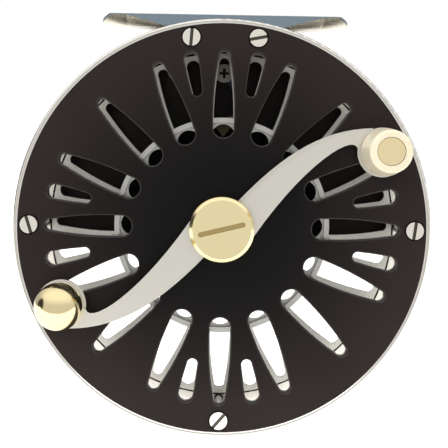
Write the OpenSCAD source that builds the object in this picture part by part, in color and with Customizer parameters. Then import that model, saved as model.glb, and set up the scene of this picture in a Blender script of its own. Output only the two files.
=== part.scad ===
// Fly reel: a ported plate frame with a ported spool inside it, an S-shaped counterbalanced crank on the
// front, a click pawl and a cork drag behind, and a foot on top. The origin is the middle of the foot's
// seat, +Z is up, and the crank faces -Y. Parts that share the spool's axis are drawn with that axis
// along z: z = 0 is the front face of the frame, and z is negative inside the reel.

/* [Frame] */
// Outer diameter of both frame rings
ring_d = 102; // [100:0.5:104]
// Distance between the outer faces of the two plates
frame_w = 27.4; // [27:0.1:29]
// Bore of the frame rings
ring_bore = 90.6; // [90.4:0.1:90.8]
// Axial thickness of each ring, its plate's recess included
ring_t = 5; // [4.5:0.1:5.5]
// Diameter of each side plate
plate_d = 99.6; // [99:0.1:99.8]
// Thickness of each side plate
plate_t = 2; // [1.8:0.1:2.2]
// Radius of the circle that the pillars and plate screws stand on
pillar_circle = 47.05; // [46.9:0.05:47.1]
// Diameter of a pillar
pillar_d = 3.8; // [3.6:0.1:3.9]

/* [Ports] */
// Widest half-width of a long port
port_half = 2.6; // [2.4:0.1:2.7]
// Distance from the spool's axis to a long port's widest place
port_mid = 28; // [27:0.5:29]
// Radius of a long port's bowed sides
port_side_r = 77.6; // [75:0.1:80]
// Centre of a long port's round inner end
port_in = 24.5; // [24:0.1:25]
// Centre of a long port's round outer end
port_out = 41.9; // [41.5:0.1:42]
// Width of the bright chamfer round each port
port_chamfer = 0.3; // [0.2:0.05:0.35]

/* [Spool] */
// Diameter of the spool's flanges
flange_d = 89.5; // [89:0.1:89.6]
// Thickness of a flange
flange_t = 1.2; // [1:0.1:1.4]
// Diameter of the arbor that the line winds on
arbor_d = 54.8; // [54:0.1:55]
// Depth of the front flange's front face below the front plate's face
front_flange_z = 2.7; // [2.5:0.1:2.8]
// Depth of the rear flange's front face below the front plate's face
rear_flange_z = 21.8; // [21.6:0.1:21.9]
// Diameter of the spindle
spindle_d = 6; // [5:0.1:6]

/* [Crank] */
// Distance from the spindle to the middle of the knob's boss
crank_reach = 42.8; // [42:0.1:43.5]
// Angle of the knob's boss above the +X axis
crank_angle = 26.3; // [0:0.1:90]
// Thickness of the crank arm
arm_t = 3.4; // [3:0.1:3.5]
// Diameter of a boss at the end of the arm
boss_d = 12; // [11.5:0.1:12.2]
// Diameter of the counterweight ball
ball_d = 11.4; // [11:0.1:11.6]
// Length of the handle knob
knob_len = 10.7; // [10:0.1:12]
// Diameter of the centre cap
cap_d = 15.4; // [15:0.1:16]

/* [Foot] */
// Length of the foot
foot_len = 62.4; // [60:0.1:64]
// Width of the foot
foot_w = 15.5; // [15:0.1:16]
// Depth of the spool's axis below the foot's seat
axis_drop = 52.7; // [52.7:0.1:53.2]

/* [Hidden] */
$fn = 96;

rear_plate_z = frame_w - plate_t;         // depth of the rear plate's inner face
rear_ring_z = frame_w - ring_t;           // depth of the rear ring's front face
rim_round = 0.6;                          // rounding of the rings' outer edges
lip_r = plate_d / 2 + 0.05;               // recess that a plate sits in
groove_r = ring_d / 2 - 0.65;             // fine groove in a ring's edge
screw_angles = [-10, 10, 90, 180, 270];   // clockwise from the top, seen from the front
long_angles = [for (i = [0:15]) i * 22.5];
short_angles = [for (c = [0:90:270], s = [-11.25, 11.25]) c + s];
rear_long_angles = [112.5, 135, 157.5, 202.5, 225, 247.5];
rear_short_angles = [101.25, 168.75, 191.25, 258.75];

screw_r = 1;                              // plate screws
screw_head_r = 2.15;
screw_head_t = 1.35;
screw_sink_r = 2.5;                       // counterbore round a plate screw's head
screw_sink = 1.1;
screw_len = 8;
slot_turn = [-4, 101, -8, -41, 18];          // each front screw's slot, anticlockwise from upright

web_z = 14;                               // the arbor's web and its ring of round holes
web_t = 2;
web_hole_r = 3;
web_hole_circle = 22.8;
hub_r = 9;
notch_z = 12.6;                           // depth that the ports are milled to through the arbor
arbor_r = arbor_d / 2;
arbor_wall_front = 1.3;
arbor_wall_rear = 0.6;

bearing_r = 6.5;                          // small ball bearings
bearing_t = 3.6;
race_t = 1.09;
ball_pitch = 4.75;
bearing_ball_r = 0.9;
race_play = 0.05;
front_bearing_z = 3.2;
rear_bearing_z = 20.3;
spindle_r = spindle_d / 2;
housing_bore = 3.6;
front_housing_r = 8.5;
rear_housing_r = 9.2;
neck_r = 7.3;
neck_z = 33;

ratchet_r = 22.4;
ratchet_teeth = 60;
ratchet_z = 23.2;
ratchet_t = 1.6;
pawl_pivot = [5.2, 27.6];                 // the pawl's pin, from the spool's axis
pawl_tip = 22.9;
pawl_z = 23.5;
pawl_t = 1.6;
pawl_pin_r = 0.8;
spring_screw_at = 39.7;                   // the cross-headed screw, above the spool's axis
spring_screw_head_r = 2.45;

plate_gap = 0.35;                         // cork's clearance with the drag backed off
cork_t = 1.85;
cork_z = web_z + web_t + plate_gap;
press_z = cork_z + cork_t;
press_t = 1.5;
pin_circle = 11.7;
pin_r = 0.9;
knob_z = 28.3;                            // drag knob on the back
knob_deep = 6.2;
drag_knob_r = 13.5;

arm_z = 2;                                // crank parts, in front of the plate
arm_top = arm_z + arm_t;
cap_t = 3.8;
cap_chamfer = 0.75;
ball_up = arm_top + 2.1;
knob_base = arm_top + 1.2;
knob_tip = knob_base + knob_len;
knob_spindle_r = 2;
knob_head_r = 3.2;

// Puts children drawn on the z axis onto the spool's axis
module on_axis() translate([0, -frame_w / 2, -axis_drop]) rotate([90, 0, 0]) children();

// Repeats children at clock angles on a circle of radius r
module around(r, angles) for (a = angles) rotate([0, 0, -a]) translate([0, r, 0]) children();

// A round bar from depth z1 down to depth z2
module bar(r, z1, z2) translate([0, 0, -z2]) cylinder(r = r, h = z2 - z1);

// A ring from depth z1 down to depth z2
module tube(r_out, r_in, z1, z2) difference() {
    bar(r_out, z1, z2);
    bar(r_in, z1 - 1, z2 + 1);
}

// A port's bowed side: shape is [widest place, half-width there, side radius, inner centre, outer centre]
long_shape = [port_mid, port_half, port_side_r, port_in, port_out];
short_shape = [43, 1.76, 80.3, 33.95, 41.75];
end_proud = 0.03;                         // the round ends are this much wider than the sides they meet
function half_at(shape, y) = sqrt(pow(shape[2], 2) - pow(y - shape[0], 2)) - shape[2] + shape[1];

// One port as a solid from depth z1 down to z2: grow widens it, and flare widens its upper face further
module port(shape, z1, z2, grow = 0, flare = 0, longer = 0) {
    h = z2 - z1;
    y_in = shape[3];
    y_out = shape[4] + longer;
    side = shape[2] + grow;
    translate([0, 0, -z2]) {
        intersection() {
            translate([shape[2] - shape[1], shape[0], 0]) cylinder(r1 = side, r2 = side + flare, h = h);
            translate([shape[1] - shape[2], shape[0], 0]) cylinder(r1 = side, r2 = side + flare, h = h);
            translate([-5, y_in - 0.2, -1]) cube([10, y_out - y_in + 0.4, h + 2]);
        }
        for (y = [y_in, y_out]) translate([0, y, 0]) {
            end = half_at(shape, y) + grow + end_proud;
            cylinder(r1 = end, r2 = end + flare, h = h);
        }
    }
}

// The chamfer's cutter, whose 45 degree sides cross both the port's wall and the plate's face
module port_chamfer_cut(shape) port(shape, -0.1, port_chamfer + 0.1, -0.1, port_chamfer + 0.2);

// Holes for the plate screws with their counterbores at the outer face
module plate_screw_holes(face_z, inward) {
    around(pillar_circle, screw_angles) {
        bar(screw_r + 0.15, min(face_z, face_z + inward * 6) - 0.1, max(face_z, face_z + inward * 6) + 0.1);
        bar(screw_sink_r, min(face_z - inward, face_z + inward * screw_sink),
            max(face_z - inward, face_z + inward * screw_sink));
    }
}

// A frame ring with its front at z = 0 and its plate recess at the front
module ring_body() difference() {
    rotate_extrude() difference() {
        union() {
            translate([ring_bore / 2, -ring_t]) square([ring_d / 2 - rim_round - ring_bore / 2, ring_t]);
            translate([ring_bore / 2, -ring_t + rim_round])
                square([ring_d / 2 - ring_bore / 2, ring_t - 2 * rim_round]);
            for (y = [-rim_round, -ring_t + rim_round])
                translate([ring_d / 2 - rim_round, y]) circle(r = rim_round);
        }
        translate([ring_bore / 2 - 1, -plate_t]) square([lip_r - ring_bore / 2 + 1, plate_t + 1]);
        translate([groove_r, 0]) rotate(45) square(0.26, center = true);
    }
    around(pillar_circle, screw_angles) bar(screw_r + 0.15, 0, ring_t + 1);
}

module front_ring() color("gainsboro") on_axis() ring_body();

module rear_ring() color("gainsboro") on_axis()
    translate([0, 0, -frame_w]) mirror([0, 0, 1]) ring_body();

module front_plate() color("#26221f") on_axis() difference() {
    bar(plate_d / 2, 0, plate_t);
    bar(housing_bore, -1, plate_t + 1);
    plate_screw_holes(0, 1);
    around(0, long_angles) port(long_shape, -1, plate_t + 1);
    around(0, short_angles) port(short_shape, -1, plate_t + 1);
    around(0, long_angles) port_chamfer_cut(long_shape);
    around(0, short_angles) port_chamfer_cut(short_shape);
}

module rear_plate() color("#26221f") on_axis() difference() {
    bar(plate_d / 2, rear_plate_z, frame_w);
    bar(neck_r + 0.02, rear_plate_z - 1, frame_w + 1);
    plate_screw_holes(frame_w, -1);
    around(0, rear_long_angles) port(long_shape, rear_plate_z - 1, frame_w + 1, 0.35, 0, 1.3);
    around(0, [180]) port(long_shape, rear_plate_z - 1, frame_w + 1, 0.35, 0, 0.6);
    around(0, rear_short_angles) port(short_shape, rear_plate_z - 1, frame_w + 1, 0.15, 0, 1);
    around(pin_circle, [60, 180, 300]) bar(pin_r + 0.1, rear_plate_z - 1, frame_w + 1);
    at_pawl_pin() bar(pawl_pin_r + 0.01, rear_plate_z - 1, rear_plate_z + 1.6);
    around(spring_screw_at, [0]) bar(1.22, rear_plate_z - 1, frame_w + 1);
}

module frame_pillars() color("silver") difference() {
    on_axis() around(pillar_circle, screw_angles) difference() {
        bar(pillar_d / 2, ring_t, rear_ring_z);
        bar(screw_r, ring_t - 1, screw_len);
        bar(screw_r, frame_w - screw_len, rear_ring_z + 1);
    }
    foot_screw_places() translate([0, 0, -8]) cylinder(r = screw_r, h = 8);
}

// A cheese-headed screw whose head's underside is at depth z1
module cheese_screw(turn, z1) {
    difference() {
        bar(screw_head_r, z1 - screw_head_t, z1);
        rotate([0, 0, turn]) translate([-0.4, -3, -z1 + screw_head_t - 0.65]) cube([0.8, 6, 2]);
    }
    bar(screw_r - 0.02, z1, screw_len - 0.5);
}

module front_plate_screws() color("#dcd8cc") on_axis()
    for (i = [0:4]) around(pillar_circle, [screw_angles[i]])
        rotate([0, 0, screw_angles[i] + slot_turn[i]]) cheese_screw(0, screw_sink);

module rear_plate_screws() color("#dcd8cc") on_axis()
    translate([0, 0, -frame_w]) mirror([0, 0, 1])
        for (i = [0:4]) around(pillar_circle, [screw_angles[i]])
            rotate([0, 0, 40 * i]) cheese_screw(0, screw_sink);

// Foot: sections across the foot, each a flat top, upright sides and a round belly
foot_half = foot_len / 2;
trough_r = 30;
trough_half = 7;
pedestal_half = 12;
foot_screw_x = pillar_circle * sin(10);
foot_stations = [[foot_half, 0.05, 1.8], [24.7, 0.3, 2.45], [14.5, 3, 3.3]];   // x, side, belly
function belly(side, deep) = [for (i = [0:12]) let (t = i / 6 - 1)
    [t * foot_w / 2, -side - (deep - side) * (1 - t * t)]];
module foot_section(s, dir) translate([dir * s[0], 0, 0]) rotate([90, 0, 90])
    linear_extrude(0.01, center = true)
        polygon(concat([[foot_w / 2, 0], [-foot_w / 2, 0]], belly(s[1], s[2])));

module foot_screw_places() for (s = [-1, 1]) translate([s * foot_screw_x, 0, 0]) children();

module reel_foot() color("#c9c7c0") difference() {
    union() {
        intersection() {
            union() {
                for (dir = [-1, 1], i = [0, 1]) hull() {
                    foot_section(foot_stations[i], dir);
                    foot_section(foot_stations[i + 1], dir);
                }
                hull() {
                    foot_section(foot_stations[2], -1);
                    foot_section([0, 4.1, 4.4], 1);
                    foot_section(foot_stations[2], 1);
                }
            }
            translate([0, 0, -10]) union() {
                for (s = [-1, 1]) translate([s * (foot_half - 12.1), 0, 0]) cylinder(r = 12.1, h = 11);
                translate([12.1 - foot_half, -foot_w, 0]) cube([foot_len - 24.2, 2 * foot_w, 11]);
            }
        }
        translate([-pedestal_half, -foot_w / 2, -6.3]) cube([2 * pedestal_half, foot_w, 3.5]);
    }
    translate([0, 0, sqrt(trough_r * trough_r - trough_half * trough_half)]) rotate([0, 90, 0])
        cylinder(r = trough_r, h = foot_len + 2, center = true);
    on_axis() around(pillar_circle, [-10, 10]) bar(pillar_d / 2 + 0.02, 0, frame_w);
    foot_screw_places() {
        translate([0, 0, -9]) cylinder(r = screw_r + 0.15, h = 9);
        translate([0, 0, -1.95]) cylinder(r1 = 1.1, r2 = 2.15, h = 1.05);
        translate([0, 0, -0.91]) cylinder(r = 2.15, h = 2);
    }
}

module foot_screws() color("#dcd8cc") foot_screw_places() difference() {
    union() {
        translate([0, 0, -1.92]) cylinder(r1 = 1.05, r2 = 2.08, h = 1);
        translate([0, 0, -7.4]) cylinder(r = screw_r - 0.02, h = 6);
    }
    translate([-3, -0.3, -1.35]) cube([6, 0.6, 1]);
}

module front_bearing_housing() color("silver") on_axis() difference() {
    union() {
        bar(front_housing_r, plate_t, front_bearing_z + bearing_t + 0.6);
        bar(spindle_r + 0.55, 0.2, plate_t);
    }
    bar(bearing_r + 0.02, front_bearing_z - 0.05, 20);
    bar(spindle_r + 0.25, -1, 20);
}

module rear_bearing_housing() color("silver") on_axis() difference() {
    union() {
        bar(rear_housing_r, 17, rear_plate_z);
        bar(neck_r, rear_plate_z, neck_z);
    }
    bar(bearing_r + 0.02, 16, rear_bearing_z + bearing_t + 0.05);
    bar(housing_bore, 16, neck_z + 1);
}

module race(r_out, r_in, z1) difference() {
    tube(r_out, r_in, z1, z1 + bearing_t);
    translate([0, 0, -z1 - bearing_t / 2]) rotate_extrude()
        translate([ball_pitch, 0]) circle(r = bearing_ball_r + race_play);
}
module bearing_balls(z1) translate([0, 0, -z1 - bearing_t / 2])
    for (a = [0:45:315]) rotate([0, 0, a]) translate([ball_pitch, 0, 0]) sphere(r = bearing_ball_r);

module front_bearing_outer_race() color("silver") on_axis()
    race(bearing_r, bearing_r - race_t, front_bearing_z);
module front_bearing_balls() color("white") on_axis() bearing_balls(front_bearing_z);
module front_bearing_inner_race() color("silver") on_axis()
    race(spindle_r + race_t, spindle_r + 0.01, front_bearing_z);
module rear_bearing_outer_race() color("silver") on_axis()
    race(bearing_r, bearing_r - race_t, rear_bearing_z);
module rear_bearing_balls() color("white") on_axis() bearing_balls(rear_bearing_z);
module rear_bearing_inner_race() color("silver") on_axis()
    race(spindle_r + race_t, spindle_r + 0.01, rear_bearing_z);

module spool_front_flange() color("lightgray") on_axis() difference() {
    tube(flange_d / 2, 19, front_flange_z, front_flange_z + flange_t);
    around(0, long_angles) port(long_shape, 0, 6);
    around(0, short_angles) port(short_shape, 0, 6);
}

module spool_arbor() color("lightgray") on_axis() difference() {
    union() {
        tube(arbor_r, arbor_r - arbor_wall_front, front_flange_z + flange_t, web_z + 0.5);
        tube(arbor_r, hub_r + 0.01, web_z, web_z + web_t);
        tube(arbor_r, arbor_r - arbor_wall_rear, web_z + web_t - 0.5, rear_flange_z);
    }
    around(0, long_angles) port(long_shape, 0, notch_z, 0.1);
    around(web_hole_circle, long_angles) bar(web_hole_r, web_z - 1, web_z + web_t + 1);
}

module spool_rear_flange() color("lightgray") on_axis() difference() {
    tube(flange_d / 2, arbor_r - arbor_wall_rear, rear_flange_z, rear_flange_z + flange_t);
    difference() {
        around(0, long_angles) port(long_shape, rear_flange_z - 1, rear_flange_z + flange_t + 1, 0, 0, 0.25);
        bar(arbor_r + 0.02, rear_flange_z - 2, rear_flange_z + flange_t + 2);
    }
    around(0, short_angles) port(short_shape, rear_flange_z - 1, rear_flange_z + flange_t + 1);
}

module spool_hub() color("silver") on_axis() difference() {
    union() {
        bar(hub_r, 8, web_z + web_t);
        bar(5, web_z + web_t, 18);
    }
    bar(spindle_r + 0.01, 0, 30);
}

module spindle() color("#b8b8b4") on_axis() {
    bar(spindle_r, 0 - arm_top, 26);
    bar(spindle_r - 0.5, -arm_top - 2, -arm_top);
}

module click_ratchet() color("#b08d57") on_axis() difference() {
    union() {
        bar(ratchet_r - 1, web_z + web_t, ratchet_z);
        translate([0, 0, -ratchet_z - ratchet_t]) linear_extrude(ratchet_t)
            polygon([for (i = [0:2 * ratchet_teeth - 1])
                let (a = i * 180 / ratchet_teeth, r = ratchet_r - 0.6 * (i % 2)) [r * cos(a), r * sin(a)]]);
    }
    bar(ratchet_r - 2, 0, 40);
}

module click_pawl() color("#7d7a66") on_axis() difference() {
    translate([0, 0, -pawl_z - pawl_t]) {
        linear_extrude(pawl_t) polygon([
            [0, pawl_tip], [2.25, 25.6], [6.3, 26.2], [6.4, 28.2], [4.6, 29.1], [-0.4, 27.6], [-2.25, 25.6]]);
        translate([pawl_pivot[0], pawl_pivot[1], 0]) cylinder(r = 1.7, h = pawl_t);
    }
    at_pawl_pin() bar(pawl_pin_r + 0.02, 20, 30);
}

module at_pawl_pin() translate([pawl_pivot[0], pawl_pivot[1], 0]) children();

module pawl_pin() color("silver") on_axis() at_pawl_pin() {
    bar(1.3, pawl_z - 0.35, pawl_z - 0.05);
    bar(pawl_pin_r, pawl_z - 0.05, rear_plate_z + 1.5);
}

module click_spring() color("#3a3c40") on_axis() difference() {
    translate([0, 0, -25]) linear_extrude(0.6) union() {
        translate([0, spring_screw_at]) circle(r = 2.3);
        polygon([[0.4, 38.4], [1.9, 39], [6.4, 30.6], [7.8, 30.1], [7.6, 29.5], [5.6, 29.7]]);
    }
    around(spring_screw_at, [0]) bar(1.22, 20, 30);
}

module click_spring_screw() color("#8f8f8a") on_axis() around(spring_screw_at, [0]) difference() {
    union() {
        bar(spring_screw_head_r, 23.5, 24.4);
        bar(1.2, 24.3, frame_w);
    }
    for (a = [0, 90]) rotate([0, 0, a]) translate([-1.3, -0.36, -24.2]) cube([2.6, 0.72, 1]);
}

module cork_ring() color("#b98d5c") on_axis() tube(18.8, 10.6, cork_z, press_z);

module pressure_plate() color("silver") on_axis()
    tube(19.4, rear_housing_r + 0.1, press_z, press_z + press_t);

module push_pins() color("silver") on_axis()
    around(pin_circle, [60, 180, 300]) bar(pin_r, press_z + press_t, knob_z - 0.1);

module drag_knob() color("#2a2725") on_axis() difference() {
    union() {
        bar(drag_knob_r, knob_z, knob_z + knob_deep - 0.8);
        bar(drag_knob_r - 0.8, knob_z, knob_z + knob_deep);
    }
    bar(neck_r + 0.06, knob_z - 1, neck_z + 8);
    bar(10, neck_z + 0.1, neck_z + 8);
    around(drag_knob_r + 1.6, [0:30:330]) bar(2.4, knob_z - 1, knob_z + knob_deep + 1);
}

module drag_knob_cap() color("#d9c27a") on_axis() difference() {
    union() {
        bar(9.7, neck_z + 0.15, neck_z + 1.2);
        bar(housing_bore - 0.02, neck_z - 4, neck_z + 0.15);
        bar(neck_r, neck_z, neck_z + 0.2);
    }
    translate([-6, -0.6, -neck_z - 2]) cube([12, 1.2, 1.4]);
}

module crank_washer() color("#c9a85c") on_axis()
    translate([0, 0, 0.25]) tube(6.2, spindle_r + 0.01, -arm_z + 0.25, 0);

// Crank arm: each half is bounded by two smooth curves from the hub to a round boss, and its body stands
// on a thin base that shows as a narrow step along the upper edge
boss_x = crank_reach * cos(crank_angle);
boss_y = crank_reach * sin(crank_angle);
arm_step = 0.4;
arm_base_t = 0.8;
function curve(p, t) = pow(1 - t, 3) * p[0] + 3 * t * pow(1 - t, 2) * p[1]
    + 3 * t * t * (1 - t) * p[2] + pow(t, 3) * p[3];
base_edge = [[3.6, 6.4], [15.5, 19.3], [25, boss_y + 5.4], [boss_x - 2.4, boss_y + 5.8]];
body_edge = [[3.5, 5.2], [15.9, 18.2], [26.1, boss_y + 5.1], [boss_x - 2.4, boss_y + 5.4]];
belly_edge = [[boss_x - 6.2, boss_y + 0.6], [boss_x - 7.2, boss_y + 4.8], [19.3, 15.6], [7.8, -1.5]];
module arm_half(upper_edge, h) linear_extrude(h) polygon(concat([[-3.4, -3.4]],
    [for (i = [0:14]) curve(upper_edge, i / 14)],
    [[boss_x, boss_y]],
    [for (i = [0:14]) curve(belly_edge, i / 14)],
    [[5.2, -5]]));

module arm_layer(upper_edge, inset, h) {
    cylinder(r = 7 - inset, h = h);
    for (s = [0, 180]) rotate([0, 0, s]) {
        arm_half(upper_edge, h);
        translate([boss_x, boss_y, 0]) cylinder(d = boss_d - 2 * inset, h = h);
    }
}

module crank_arm() color("#d8d4cc") on_axis() difference() {
    translate([0, 0, arm_z]) {
        arm_layer(base_edge, 0, arm_base_t);
        arm_layer(body_edge, arm_step, arm_t);
    }
    bar(spindle_r + 0.01, -20, 20);
    for (s = [0, 180]) rotate([0, 0, s]) translate([boss_x, boss_y, 0]) bar(knob_spindle_r + 0.01, -20, 20);
}

module crank_cap() color("#e0cf96") on_axis() translate([0, 0, arm_top]) difference() {
    union() {
        cylinder(d = cap_d, h = cap_t - cap_chamfer);
        translate([0, 0, cap_t - cap_chamfer])
            cylinder(d1 = cap_d, d2 = cap_d - 2 * cap_chamfer, h = cap_chamfer);
    }
    translate([0, 0, -1]) cylinder(r = spindle_r - 0.49, h = 3.1);
    rotate([0, 0, 14]) translate([0, 0, cap_t - 1.2]) {
        translate([-5.1, -0.6, 0]) cube([10.2, 1.2, 2]);
        for (s = [-1, 1]) translate([s * 5.1, 0, 0]) cylinder(r = 0.63, h = 2);
    }
}

module counterweight_ball() color("#d4b766") on_axis() translate([-boss_x, -boss_y, 0]) difference() {
    translate([0, 0, ball_up]) sphere(d = ball_d);
    translate([-10, -10, arm_top - 10]) cube([20, 20, 10]);
    cylinder(r = knob_spindle_r + 0.01, h = ball_up);
}

module ball_stud() color("#c9a85c") on_axis() translate([-boss_x, -boss_y, 0]) {
    translate([0, 0, arm_z - 0.6]) cylinder(r = knob_spindle_r, h = ball_up - arm_z + 0.5);
    translate([0, 0, arm_z - 0.8]) cylinder(r = 3, h = 0.75);
}

module at_knob() on_axis() translate([boss_x, boss_y, 0]) children();

module knob_washer() color("#d9c27a") at_knob() translate([0, 0, arm_top])
    difference() {
        cylinder(r = 4.6, h = 0.9);
        translate([0, 0, -1]) cylinder(r = knob_spindle_r + 0.01, h = 3);
    }

module knob_spindle() color("#dcc88c") at_knob() {
    translate([0, 0, arm_z - 0.8]) cylinder(r = 3, h = 0.75);
    translate([0, 0, arm_z - 0.6]) cylinder(r = knob_spindle_r, h = knob_tip - arm_z);
    translate([0, 0, knob_tip - 1.3]) cylinder(r = knob_head_r, h = 1);
}

module handle_knob() color("#f0ead8") at_knob() difference() {
    rotate_extrude() difference() {
        polygon(concat([[0, knob_base], [5.1, knob_base]],
            [for (a = [-60:15:0]) [5 + 0.75 * cos(a), knob_base + 0.75 + 0.75 * sin(a)]],
            [[5.4, knob_base + knob_len / 2]],
            [for (a = [0:15:90]) [4.1 + 0.9 * cos(a), knob_tip - 0.9 + 0.9 * sin(a)]],
            [[0, knob_tip]]));
        translate([0, knob_tip - 1.45]) square([knob_head_r + 0.12, 3]);
        square([2.85, 60]);
    }
}

module knob_bush() color("#c9a85c") at_knob() difference() {
    translate([0, 0, knob_base]) cylinder(r = 2.84, h = knob_len - 1.5);
    cylinder(r = knob_spindle_r + 0.05, h = 40);
}

front_ring();
rear_ring();
front_plate();
rear_plate();
frame_pillars();
front_plate_screws();
rear_plate_screws();
reel_foot();
foot_screws();
front_bearing_housing();
rear_bearing_housing();
front_bearing_outer_race();
front_bearing_balls();
front_bearing_inner_race();
rear_bearing_outer_race();
rear_bearing_balls();
rear_bearing_inner_race();
spool_front_flange();
spool_arbor();
spool_rear_flange();
spool_hub();
spindle();
click_ratchet();
click_pawl();
pawl_pin();
click_spring();
click_spring_screw();
cork_ring();
pressure_plate();
push_pins();
drag_knob();
drag_knob_cap();
crank_washer();
crank_arm();
crank_cap();
counterweight_ball();
ball_stud();
knob_washer();
knob_spindle();
handle_knob();
knob_bush();
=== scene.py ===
import math

import bpy
from mathutils import Matrix, Vector


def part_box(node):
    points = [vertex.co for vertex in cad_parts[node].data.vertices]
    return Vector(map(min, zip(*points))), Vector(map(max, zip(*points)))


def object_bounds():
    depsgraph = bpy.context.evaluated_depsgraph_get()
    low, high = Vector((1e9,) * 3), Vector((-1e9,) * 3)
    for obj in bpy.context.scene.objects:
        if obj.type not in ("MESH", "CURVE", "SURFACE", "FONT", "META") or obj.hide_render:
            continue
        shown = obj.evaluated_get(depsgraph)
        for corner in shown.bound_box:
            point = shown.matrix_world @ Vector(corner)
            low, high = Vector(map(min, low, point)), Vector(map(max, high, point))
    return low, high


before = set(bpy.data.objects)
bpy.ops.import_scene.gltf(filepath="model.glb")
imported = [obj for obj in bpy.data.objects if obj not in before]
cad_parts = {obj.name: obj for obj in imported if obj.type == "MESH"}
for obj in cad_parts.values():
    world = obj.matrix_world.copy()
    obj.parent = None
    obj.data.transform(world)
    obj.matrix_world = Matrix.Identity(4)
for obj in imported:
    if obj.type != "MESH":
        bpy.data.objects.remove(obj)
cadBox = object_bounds()
print("frame loaded:", len(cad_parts), "nodes")

mm = 0.001
ringLow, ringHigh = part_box("front_ring")
axisX, axisZ = (ringLow[0] + ringHigh[0]) / 2, (ringLow[2] + ringHigh[2]) / 2  # the spool's axis, along Y
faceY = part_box("front_plate")[0][1]  # outer face of the front plate


def srgb(hexText):  # "#c8a050" to the linear colour that shader sockets take
    parts = [int(hexText[i:i + 2], 16) / 255 for i in (1, 3, 5)]
    linear = [c / 12.92 if c <= 0.04045 else ((c + 0.055) / 1.055) ** 2.4 for c in parts]
    return (*linear, 1.0)


def newMaterial(name):
    material = bpy.data.materials.new(name)
    material.use_nodes = True
    return material, material.node_tree, material.node_tree.nodes["Principled BSDF"]


# Adds one node with its settings, values and links; output number "out" feeds the socket "to".
def addNode(tree, kind, settings=None, values=None, links=None, to=None, out=0):
    node = tree.nodes.new(kind)
    for name, value in (settings or {}).items():
        setattr(node, name, value)
    for name, value in (values or {}).items():
        node.inputs[name].default_value = value
    for name, socket in (links or {}).items():
        tree.links.new(socket, node.inputs[name])
    if to:
        tree.links.new(node.outputs[out], to)
    return node


def setShader(shader, values):
    for name, value in values.items():
        shader.inputs[name].default_value = value


def facing(tree, axis):  # how far a surface faces along X, Y or Z, from -1 to 1
    normal = addNode(tree, "ShaderNodeTexCoord").outputs["Normal"]
    return addNode(tree, "ShaderNodeSeparateXYZ", links={"Vector": normal}).outputs[axis]


def fineScratches(tree, place, stretch, perMm):  # hairlines drawn out along one axis, perMm to a millimetre
    squash = addNode(tree, "ShaderNodeMapping", values={"Scale": stretch}, links={"Vector": place})
    return addNode(tree, "ShaderNodeTexNoise", values={"Scale": perMm / mm, "Detail": 3.0, "Roughness": 0.6},
                   links={"Vector": squash.outputs[0]}).outputs["Fac"]


def axisDistance(tree):  # distance from the spool's axis, for lathe marks and wear
    place = addNode(tree, "ShaderNodeTexCoord").outputs["Object"]
    centred = addNode(tree, "ShaderNodeVectorMath", {"operation": "SUBTRACT"}, {1: (axisX, 0.0, axisZ)},
                      {0: place})
    flat = addNode(tree, "ShaderNodeVectorMath", {"operation": "MULTIPLY"}, {1: (1.0, 0.0, 1.0)},
                   {0: centred.outputs[0]})
    length = addNode(tree, "ShaderNodeVectorMath", {"operation": "LENGTH"}, links={0: flat.outputs[0]})
    return length.outputs["Value"]


def darkRecess(tree, faceMm, deepMm, inward=1):  # mask for painted shade: 0 at a part's outer face, rising to 1 deepMm inside it
    startMm = 0.15  # the face itself and its rounded edge stay unshaded
    place = addNode(tree, "ShaderNodeTexCoord").outputs["Object"]
    depth = addNode(tree, "ShaderNodeSeparateXYZ", links={"Vector": place}).outputs["Y"]
    unshadedY = (faceMm + startMm * inward) * mm
    dark = (faceMm + deepMm * inward) * mm
    return addNode(tree, "ShaderNodeMapRange", {"interpolation_type": "SMOOTHSTEP"},
                   {"From Min": unshadedY, "From Max": dark}, {"Value": depth}).outputs[0]


anodised = {
    "colour": "#0c0b0b", "rimSheen": "#2a2321",  # dark at the middle; the second colour is a painted reflection, lighter and browner near the rim
    "sheenFrom": 14.0, "sheenTo": 54.0,  # radii in mm
    "sheenPatches": (0.55, 1.25), "patchesPerMm": 0.045,  # how uneven it is, and its patches to a millimetre
    "bare": "#6f6c68", "bareMost": 0.45, "barePerMm": 0.9,  # metal showing through on the ports' chamfers
    "roughness": (0.38, 0.46), "gloss": 0.12,
    "grainMm": 0.35, "depthMm": 0.003,  # blasting grit is finer than this, drawn coarser so that it shows
}


def bareEdge(tree):  # rises on surfaces that lean about 45 degrees to the axis, which are the port chamfers
    chamferLean, leanSpread = math.sqrt(0.5), 0.2
    lean = addNode(tree, "ShaderNodeMath", {"operation": "ABSOLUTE"}, links={0: facing(tree, "Y")})
    band = addNode(tree, "ShaderNodeMath", {"operation": "COMPARE"}, {1: chamferLean, 2: leanSpread},
                   {0: lean.outputs[0]})
    place = addNode(tree, "ShaderNodeTexCoord").outputs["Object"]
    patchy = addNode(tree, "ShaderNodeTexNoise", values={"Scale": anodised["barePerMm"] / mm, "Detail": 3.0},
                     links={"Vector": place})
    amount = addNode(tree, "ShaderNodeMapRange", values={"To Max": anodised["bareMost"]},
                     links={"Value": patchy.outputs["Fac"]})
    return addNode(tree, "ShaderNodeMath", {"operation": "MULTIPLY"},
                   links={0: band.outputs[0], 1: amount.outputs[0]}).outputs[0]


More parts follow.
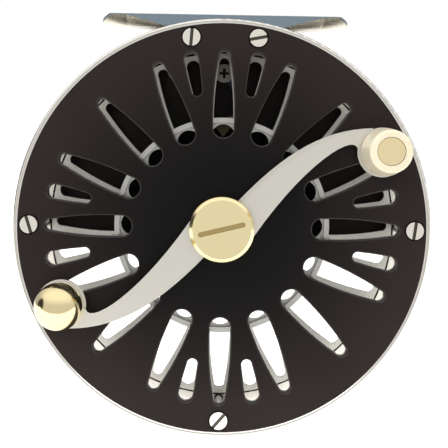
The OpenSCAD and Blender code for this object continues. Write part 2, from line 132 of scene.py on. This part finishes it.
def anodisedAluminium():
    # Aluminium plate, bead-blasted and hard anodised: near black, a soft sheen, a faint even grain, and a
    # painted reflection lightening it unevenly towards the rim.
    material, tree, shader = newMaterial("blackAnodisedAluminium")
    place = addNode(tree, "ShaderNodeTexCoord").outputs["Object"]
    grainScale = 1 / (anodised["grainMm"] * mm)
    grain = addNode(tree, "ShaderNodeTexNoise", values={"Scale": grainScale, "Detail": 2.0},
                    links={"Vector": place})
    patchNoise = addNode(tree, "ShaderNodeTexNoise", values={"Scale": anodised["patchesPerMm"] / mm, "Detail": 4.0},
                   links={"Vector": place})
    outward = addNode(tree, "ShaderNodeMapRange", {"interpolation_type": "SMOOTHSTEP"},
                      {"From Min": anodised["sheenFrom"] * mm, "From Max": anodised["sheenTo"] * mm},
                      {"Value": axisDistance(tree)})  # painted reflection, lighter and browner most near the rim
    patchLow, patchHigh = anodised["sheenPatches"]
    patches = addNode(tree, "ShaderNodeMapRange", values={"To Min": patchLow, "To Max": patchHigh},
                      links={"Value": patchNoise.outputs["Fac"]})
    rimSheen = addNode(tree, "ShaderNodeMath", {"operation": "MULTIPLY"},
                   links={0: outward.outputs[0], 1: patches.outputs[0]})
    tint = addNode(tree, "ShaderNodeMix", {"data_type": "RGBA"},
                   {6: srgb(anodised["colour"]), 7: srgb(anodised["rimSheen"])}, {0: rimSheen.outputs[0]})
    edge = bareEdge(tree)
    addNode(tree, "ShaderNodeMix", {"data_type": "RGBA"}, {7: srgb(anodised["bare"])},
            {0: edge, 6: tint.outputs[2]}, to=shader.inputs["Base Color"], out=2)
    tree.links.new(edge, shader.inputs["Metallic"])
    smooth, rough = anodised["roughness"]
    addNode(tree, "ShaderNodeMapRange", values={"To Min": smooth, "To Max": rough},
            links={"Value": patchNoise.outputs["Fac"]}, to=shader.inputs["Roughness"])
    addNode(tree, "ShaderNodeBump", values={"Strength": 1.0, "Distance": anodised["depthMm"] * mm},
            links={"Height": grain.outputs["Fac"]}, to=shader.inputs["Normal"])
    setShader(shader, {"IOR": 1.5, "Specular IOR Level": anodised["gloss"]})
    return material


# Real tool marks lie about 0.1 mm apart and polishing hairlines closer still. Both are drawn coarser, at
# 0.8 to 3 to a millimetre, so that they show.
def turnedMetal(name, finish):
    # Metal faced on a lathe: concentric marks that catch the light in arcs, under a polish.
    material, tree, shader = newMaterial(name)
    along = addNode(tree, "ShaderNodeCombineXYZ", links={"X": axisDistance(tree)})
    marks = addNode(tree, "ShaderNodeTexNoise", values={"Scale": finish["marksPerMm"] / mm, "Detail": 2.0},
                    links={"Vector": along.outputs[0]})
    smooth, rough = finish["roughness"]
    addNode(tree, "ShaderNodeMapRange", values={"To Min": smooth, "To Max": rough},
            links={"Value": marks.outputs["Fac"]}, to=shader.inputs["Roughness"])
    addNode(tree, "ShaderNodeBump", values={"Strength": 1.0, "Distance": finish["depthMm"] * mm},
            links={"Height": marks.outputs["Fac"]}, to=shader.inputs["Normal"])
    setShader(shader, {"Base Color": srgb(finish["colour"]), "Metallic": 1.0})
    return material


polish = {  # what a polished metal has unless its own finish says otherwise
    "stretch": (1.0, 1.0, 1.0), "depthMm": 0.0008, "smearPerMm": 0.22,  # hairlines, then smears from handling
    "recess": None, "recessShade": "#2a2620",  # recess is (face, depth, inward) along Y, in mm; the colour after it is painted shade at the bottom of the recess
}


def polishedMetal(name, finish):
    # Metal polished on a buff: sharp reflections, broken a little by fine hairlines from handling.
    finish = {**polish, **finish}
    material, tree, shader = newMaterial(name)
    place = addNode(tree, "ShaderNodeTexCoord").outputs["Object"]
    setShader(shader, {"Base Color": srgb(finish["colour"]), "Metallic": 1.0})
    if finish["recess"]:  # painted shade darkens the bottom of a slot
        addNode(tree, "ShaderNodeMix", {"data_type": "RGBA"},
                {6: srgb(finish["colour"]), 7: srgb(finish["recessShade"])},
                {0: darkRecess(tree, *finish["recess"])}, to=shader.inputs["Base Color"], out=2)
    smear = addNode(tree, "ShaderNodeTexNoise", values={"Scale": finish["smearPerMm"] / mm, "Detail": 3.0},
                    links={"Vector": place})
    smooth, rough = finish["roughness"]
    addNode(tree, "ShaderNodeMapRange", values={"To Min": smooth, "To Max": rough},
            links={"Value": smear.outputs["Fac"]}, to=shader.inputs["Roughness"])
    hairs = fineScratches(tree, place, finish["stretch"], finish["hairsPerMm"])
    addNode(tree, "ShaderNodeBump", values={"Strength": 1.0, "Distance": finish["depthMm"] * mm},
            links={"Height": hairs}, to=shader.inputs["Normal"])
    return material


footFinish = {
    # both colours are painted reflections: bluish in front, warm beige floor underneath
    "colour": "#8897a3", "underside": "#c9c3b4", "roughness": (0.20, 0.34),
    "hairsPerMm": 3.0, "stretch": (0.08, 1.0, 1.0), "depthMm": 0.005,  # long scratches along the foot
    "underFrom": -0.15, "underTo": -0.6,  # how far down it faces where the painted warm reflection starts and is full
}


def footMetal():
    # Steel ground lengthways and polished, with long scratches; a painted reflection makes it bluish in front
    # and warm beige underneath.
    material = polishedMetal("polishedSteel", footFinish)
    tree, shader = material.node_tree, material.node_tree.nodes["Principled BSDF"]
    under = addNode(tree, "ShaderNodeMapRange", {"interpolation_type": "SMOOTHSTEP"},
                    {"From Min": footFinish["underFrom"], "From Max": footFinish["underTo"]},
                    {"Value": facing(tree, "Z")})
    addNode(tree, "ShaderNodeMix", {"data_type": "RGBA"},
            {6: srgb(footFinish["colour"]), 7: srgb(footFinish["underside"])},
            {0: under.outputs[0]}, to=shader.inputs["Base Color"], out=2)
    return material


crankFinish = {
    "colour": "#e2dfd6", "roughness": (0.30, 0.38), "hairsPerMm": 0.8, "stretch": (1.0, 1.0, 6.0),
    "depthMm": 0.0012, "sideRoughness": 0.06, "sideLean": (0.4, 0.8),  # sides change to face between these
}


def crankNickel():
    # Nickel plate, satin on its face and buffed round its sides, which mirror the dark plate as a thin line.
    material = polishedMetal("satinNickel", crankFinish)
    tree, shader = material.node_tree, material.node_tree.nodes["Principled BSDF"]
    satin = shader.inputs["Roughness"].links[0].from_socket
    leanFrom, leanTo = crankFinish["sideLean"]
    lean = addNode(tree, "ShaderNodeMath", {"operation": "ABSOLUTE"}, links={0: facing(tree, "Y")})
    face = addNode(tree, "ShaderNodeMapRange", values={"From Min": leanFrom, "From Max": leanTo},
                   links={"Value": lean.outputs[0]})
    addNode(tree, "ShaderNodeMix", {"data_type": "FLOAT"}, {2: crankFinish["sideRoughness"]},
            {0: face.outputs[0], 3: satin}, to=shader.inputs["Roughness"])
    return material


ivoryFinish = {
    "colour": "#e6d9b8", "cloud": "#f1e9d4", "cloudPerMm": 0.18,  # creamy, with paler clouds some 5 mm across
    "roughness": 0.24, "sinking": 0.15, "sinkingMm": 0.6,  # how much light sinks in, and how far
}


def ivoryPlastic():
    # Cast resin turned and buffed: milky, slightly glossy, with light sinking a little way in.
    material, tree, shader = newMaterial("ivoryResin")
    place = addNode(tree, "ShaderNodeTexCoord").outputs["Object"]
    cloudScale = ivoryFinish["cloudPerMm"] / mm
    cloud = addNode(tree, "ShaderNodeTexNoise", values={"Scale": cloudScale, "Detail": 3.0},
                    links={"Vector": place})
    addNode(tree, "ShaderNodeMix", {"data_type": "RGBA"},
            {6: srgb(ivoryFinish["colour"]), 7: srgb(ivoryFinish["cloud"])},
            {0: cloud.outputs["Fac"]}, to=shader.inputs["Base Color"], out=2)
    setShader(shader, {"Roughness": ivoryFinish["roughness"], "IOR": 1.5,
                       "Subsurface Weight": ivoryFinish["sinking"],
                       "Subsurface Scale": ivoryFinish["sinkingMm"] * mm})
    return material


corkFinish = {"colour": "#8a623a", "grain": "#c69a66", "grainMm": 1.0, "depthMm": 0.15, "roughness": 0.85}


def groundCork():
    # Ground cork pressed into a ring: grains about 1 mm across, matt and warm.
    material, tree, shader = newMaterial("pressedCork")
    place = addNode(tree, "ShaderNodeTexCoord").outputs["Object"]
    grains = addNode(tree, "ShaderNodeTexVoronoi", values={"Scale": 1 / (corkFinish["grainMm"] * mm)},
                     links={"Vector": place})
    addNode(tree, "ShaderNodeMix", {"data_type": "RGBA"},
            {6: srgb(corkFinish["colour"]), 7: srgb(corkFinish["grain"])},
            {0: grains.outputs["Distance"]}, to=shader.inputs["Base Color"], out=2)
    addNode(tree, "ShaderNodeBump", values={"Strength": 1.0, "Distance": corkFinish["depthMm"] * mm},
            links={"Height": grains.outputs["Distance"]}, to=shader.inputs["Normal"])
    setShader(shader, {"Roughness": corkFinish["roughness"]})
    return material


# Outer faces of the slotted parts, in mm along Y; the two on the back start 0.1 mm outside them
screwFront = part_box("front_plate_screws")[0][1] / mm
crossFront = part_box("click_spring_screw")[0][1] / mm
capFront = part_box("crank_cap")[0][1] / mm
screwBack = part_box("rear_plate_screws")[1][1] / mm + 0.1
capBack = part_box("drag_knob_cap")[1][1] / mm + 0.1

blackAnodised = anodisedAluminium()
# Aluminium turned and then buffed: bright, with the lathe's marks just showing.
rimAluminium = turnedMetal("polishedTurnedAluminium", {
    "colour": "#e9e7e2", "roughness": (0.12, 0.2), "marksPerMm": 3.0, "depthMm": 0.0003,
})
# Aluminium turned and clear anodised: silvery and soft.
spoolAluminium = turnedMetal("clearAnodisedAluminium", {
    "colour": "#dad9d5", "roughness": (0.28, 0.40), "marksPerMm": 2.5, "depthMm": 0.003,
})
satinNickel = crankNickel()
# Nickel plate buffed nearly to a mirror.
mirrorNickel = polishedMetal("polishedNickel", {
    "colour": "#e4e0d8", "roughness": (0.06, 0.12), "hairsPerMm": 1.0,
})
footSteel = footMetal()
# Brass turned and buffed: pale gold.
polishedBrass = polishedMetal("polishedBrass", {
    "colour": "#ecdcae", "roughness": (0.08, 0.16), "hairsPerMm": 1.2,
})
# Bronze left as it was cut: greenish and dull.
dullBronze = turnedMetal("machinedBronze", {
    "colour": "#7c765c", "roughness": (0.35, 0.5), "marksPerMm": 2.0, "depthMm": 0.004,
})
# Spring strip, polished lengthways and tempered blue: dark, with a cool gleam.
bluedSteel = polishedMetal("bluedSpringSteel", {
    "colour": "#3a3d45", "roughness": (0.25, 0.35), "hairsPerMm": 1.0, "stretch": (1.0, 1.0, 6.0),
})
# Bearing steel, ground mirror bright.
bearingSteel = polishedMetal("groundBearingSteel", {
    "colour": "#d4d4d4", "roughness": (0.05, 0.1), "hairsPerMm": 2.0,
})
# Nickel-plated steel: softly bright.
nickelScrew = polishedMetal("nickelPlatedSteel", {
    "colour": "#d6d2c6", "roughness": (0.16, 0.26), "hairsPerMm": 2.0,
})
# Slotted heads, plated: bright faces with painted shade in the cuts.
plateScrew = polishedMetal("nickelPlatedScrew", {
    "colour": "#f3efe4", "roughness": (0.16, 0.26), "hairsPerMm": 2.0, "recess": (screwFront, 0.75),
})
rearScrew = polishedMetal("nickelPlatedRearScrew", {
    "colour": "#d6d2c6", "roughness": (0.16, 0.26), "hairsPerMm": 2.0, "recess": (screwBack, 0.7, -1),
})
# The cross head inside, plated a duller grey, with painted shade in its cross.
crossScrew = polishedMetal("greyPlatedScrew", {
    "colour": "#8b8a80", "roughness": (0.3, 0.4), "hairsPerMm": 2.0, "recess": (crossFront, 0.55),
    "recessShade": "#1b1914",
})
# Turned brass caps, buffed to an even pale gold, with painted shade darkening the bottom of the coin slot.
capBrass = polishedMetal("polishedCapBrass", {
    "colour": "#fbecbb", "roughness": (0.16, 0.24), "hairsPerMm": 1.2, "recess": (capFront, 1.5),
    "recessShade": "#b09860",
})
dragCapBrass = polishedMetal("polishedDragCapBrass", {
    "colour": "#e2cf98", "roughness": (0.16, 0.24), "hairsPerMm": 1.2, "recess": (capBack, 0.7, -1),
    "recessShade": "#6e5c30",
})
# Brass brushed flat, so paler and softer.
knobBrass = polishedMetal("brushedKnobBrass", {
    "colour": "#f8e6b8", "roughness": (0.3, 0.4), "hairsPerMm": 1.2,
})
ivory = ivoryPlastic()
cork = groundCork()

finishes = {
    "front_ring": rimAluminium, "rear_ring": rimAluminium, "front_plate": blackAnodised,
    "rear_plate": blackAnodised,
    "frame_pillars": rimAluminium, "front_plate_screws": plateScrew, "rear_plate_screws": rearScrew,
    "reel_foot": footSteel, "foot_screws": nickelScrew, "front_bearing_housing": spoolAluminium,
    "rear_bearing_housing": spoolAluminium, "front_bearing_outer_race": bearingSteel,
    "front_bearing_balls": bearingSteel, "front_bearing_inner_race": bearingSteel,
    "rear_bearing_outer_race": bearingSteel, "rear_bearing_balls": bearingSteel,
    "rear_bearing_inner_race": bearingSteel, "spool_front_flange": spoolAluminium,
    "spool_arbor": spoolAluminium, "spool_rear_flange": spoolAluminium, "spool_hub": spoolAluminium,
    "spindle": nickelScrew,
    "click_ratchet": dullBronze, "click_pawl": dullBronze, "pawl_pin": nickelScrew,
    "click_spring": bluedSteel,
    "click_spring_screw": crossScrew, "cork_ring": cork, "pressure_plate": rimAluminium,
    "push_pins": nickelScrew,
    "drag_knob": blackAnodised, "drag_knob_cap": dragCapBrass, "crank_washer": polishedBrass,
    "crank_arm": satinNickel, "crank_cap": capBrass, "counterweight_ball": polishedBrass,
    "ball_stud": polishedBrass, "knob_washer": polishedBrass, "knob_spindle": knobBrass,
    "handle_knob": ivory, "knob_bush": dullBronze,
}
for name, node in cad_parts.items():
    node.data.materials.clear()
    node.data.materials.append(finishes[name])
print("materials given to", len(finishes), "nodes")

rounding = {  # width in mm of the small bevel on each part's edges
    "crank_arm": 0.35, "crank_cap": 0.12, "knob_washer": 0.12, "front_plate_screws": 0.1,
    "rear_plate_screws": 0.1, "click_spring_screw": 0.1, "drag_knob": 0.3, "drag_knob_cap": 0.15,
    "foot_screws": 0.06, "knob_spindle": 0.12,
}
sharpAngle = math.radians(40)  # edges that turn less than this are left alone
for name, width in rounding.items():
    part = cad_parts[name]
    bevel = part.modifiers.new("edge", "BEVEL")
    bevel.width = width * mm
    bevel.segments = 2
    bevel.limit_method = "ANGLE"
    bevel.angle_limit = sharpAngle
    bevel.use_clamp_overlap = True
    if name == "crank_arm":  # the arm's edge is buffed brighter than its satin face
        part.data.materials.append(mirrorNickel)
        bevel.material = 1
print("edges rounded on", len(rounding), "parts")

paper = {  # the white sheet under the reel
    "dropMm": 0.5, "beforeMm": 75.0, "acrossM": 6.0,  # gap below the reel, reach in front of it, whole size
    "colour": "#f4f3f1", "roughness": 0.95, "gloss": 0.1, "glow": 0.7,
}


def makeFloor():
    low = cadBox[0].z - paper["dropMm"] * mm
    middle = paper["acrossM"] / 2 + faceY - paper["beforeMm"] * mm
    bpy.ops.mesh.primitive_plane_add(size=paper["acrossM"], location=(0, middle, low))
    floor = bpy.context.object
    floor.name = "floor"
    material, tree, shader = newMaterial("mattWhitePaper")  # thick matt paper: even, with almost no gloss
    setShader(shader, {"Base Color": srgb(paper["colour"]), "Roughness": paper["roughness"],
                       "Specular IOR Level": paper["gloss"], "Emission Color": srgb("#ffffff"),
                       "Emission Strength": paper["glow"]})
    floor.data.materials.append(material)


tent = {
    "front": 0.8, "behind": 0.5, "overhead": 0.45,  # brightness by direction
    "colour": "#fdfcfa",
    "depthBlend": (-0.2, 0.5), "heightBlend": (0.1, 0.8),  # directions along Y and Z where each change runs
    "card": (-0.99, -0.05, 0.12), "cardEdge": (0.91, 0.96), "cardShade": 0.06,  # a dark card at the left
}


def makeWorld():  # a light tent: white to the camera, and in reflections brightest overhead and dimmer behind
    world = bpy.data.worlds.new("lightTent")
    bpy.context.scene.world = world
    world.use_nodes = True
    tree = world.node_tree
    tree.nodes.clear()
    place = addNode(tree, "ShaderNodeTexCoord").outputs["Generated"]
    axes = addNode(tree, "ShaderNodeSeparateXYZ", links={"Vector": place})
    depthFrom, depthTo = tent["depthBlend"]
    depth = addNode(tree, "ShaderNodeMapRange", {"interpolation_type": "SMOOTHSTEP"},
                    {"From Min": depthFrom, "From Max": depthTo,
                     "To Min": tent["front"], "To Max": tent["behind"]},
                    {"Value": axes.outputs["Y"]})
    heightFrom, heightTo = tent["heightBlend"]
    height = addNode(tree, "ShaderNodeMapRange", {"interpolation_type": "SMOOTHSTEP"},
                     {"From Min": heightFrom, "From Max": heightTo,
                      "To Min": 0.0, "To Max": tent["overhead"]},
                     {"Value": axes.outputs["Z"]})
    total = addNode(tree, "ShaderNodeMath", {"operation": "ADD"},
                    links={0: depth.outputs[0], 1: height.outputs[0]})
    toCard = addNode(tree, "ShaderNodeVectorMath", {"operation": "DOT_PRODUCT"}, {1: tent["card"]},
                     {0: place})
    edgeFrom, edgeTo = tent["cardEdge"]
    shade = addNode(tree, "ShaderNodeMapRange", {"interpolation_type": "SMOOTHSTEP"},
                    {"From Min": edgeFrom, "From Max": edgeTo, "To Min": 1.0, "To Max": tent["cardShade"]},
                    {"Value": toCard.outputs["Value"]})
    carded = addNode(tree, "ShaderNodeMath", {"operation": "MULTIPLY"},
                     links={0: total.outputs[0], 1: shade.outputs[0]})
    lit = addNode(tree, "ShaderNodeBackground", values={"Color": srgb(tent["colour"])},
                  links={"Strength": carded.outputs[0]})
    seen = addNode(tree, "ShaderNodeBackground", values={"Strength": 1.0, "Color": (1, 1, 1, 1)})
    path = addNode(tree, "ShaderNodeLightPath")
    mix = addNode(tree, "ShaderNodeMixShader",
                  links={0: path.outputs["Is Camera Ray"], 1: lit.outputs[0], 2: seen.outputs[0]})
    addNode(tree, "ShaderNodeOutputWorld", links={"Surface": mix.outputs[0]})


lamps = {  # places and sizes in metres, all aimed at the middle of the plate
    "keySoftbox": {"place": (-0.35, -0.45, 0.30), "size": (0.35, 0.35), "watts": 1.3, "colour": "#fffdf8"},
    "fillSoftbox": {"place": (0.50, -0.35, 0.05), "size": (0.30, 0.40), "watts": 0.35, "colour": "#fdfbff"},
    "topStrip": {"place": (0.0, -0.05, 0.45), "size": (0.60, 0.25), "watts": 0.7, "colour": "#ffffff"},
}


def makeLamps():
    target = Vector((0, faceY, axisZ))
    for name, setting in lamps.items():
        lamp = bpy.data.lights.new(name, "AREA")
        lamp.shape = "RECTANGLE"
        lamp.size, lamp.size_y = setting["size"]
        lamp.energy = setting["watts"]
        lamp.color = srgb(setting["colour"])[:3]
        light = bpy.data.objects.new(name, lamp)
        bpy.context.collection.objects.link(light)
        place = Vector(setting["place"])
        light.location = place
        light.visible_glossy = False  # polished parts mirror the tent instead of a hard-edged lamp
        light.rotation_mode = "QUATERNION"
        light.rotation_quaternion = (target - place).to_track_quat("-Z", "Y")


viewpoint = {  # distances in mm from the plate's face and the spool's axis, roll in degrees, lens in mm
    "distance": 260.0, "left": 0.43, "above": 14.42, "roll": 1.0,
    "lens": 85.8, "sensor": 36.0, "shift": (0.0067, -0.1239),
}


def makeCamera():  # level and square to the reel, a little above its axis, with the lens shifted to frame it
    data = bpy.data.cameras.new("camera")
    data.lens, data.sensor_width = viewpoint["lens"], viewpoint["sensor"]
    data.shift_x, data.shift_y = viewpoint["shift"]
    data.clip_start, data.clip_end = 0.01, 20.0
    camera = bpy.data.objects.new("camera", data)
    bpy.context.collection.objects.link(camera)
    left, distance, above = (viewpoint[key] * mm for key in ("left", "distance", "above"))
    place = Vector((-left, faceY - distance, axisZ + above))
    roll = Matrix.Rotation(math.radians(viewpoint["roll"]), 4, "Z")
    turn = Matrix.Rotation(math.radians(90), 4, "X") @ roll
    camera.matrix_world = Matrix.Translation(place) @ turn
    bpy.context.scene.camera = camera


makeFloor()
makeWorld()
makeLamps()
makeCamera()
bpy.context.scene.view_settings.view_transform = "Standard"
print("floor, lights and camera made")
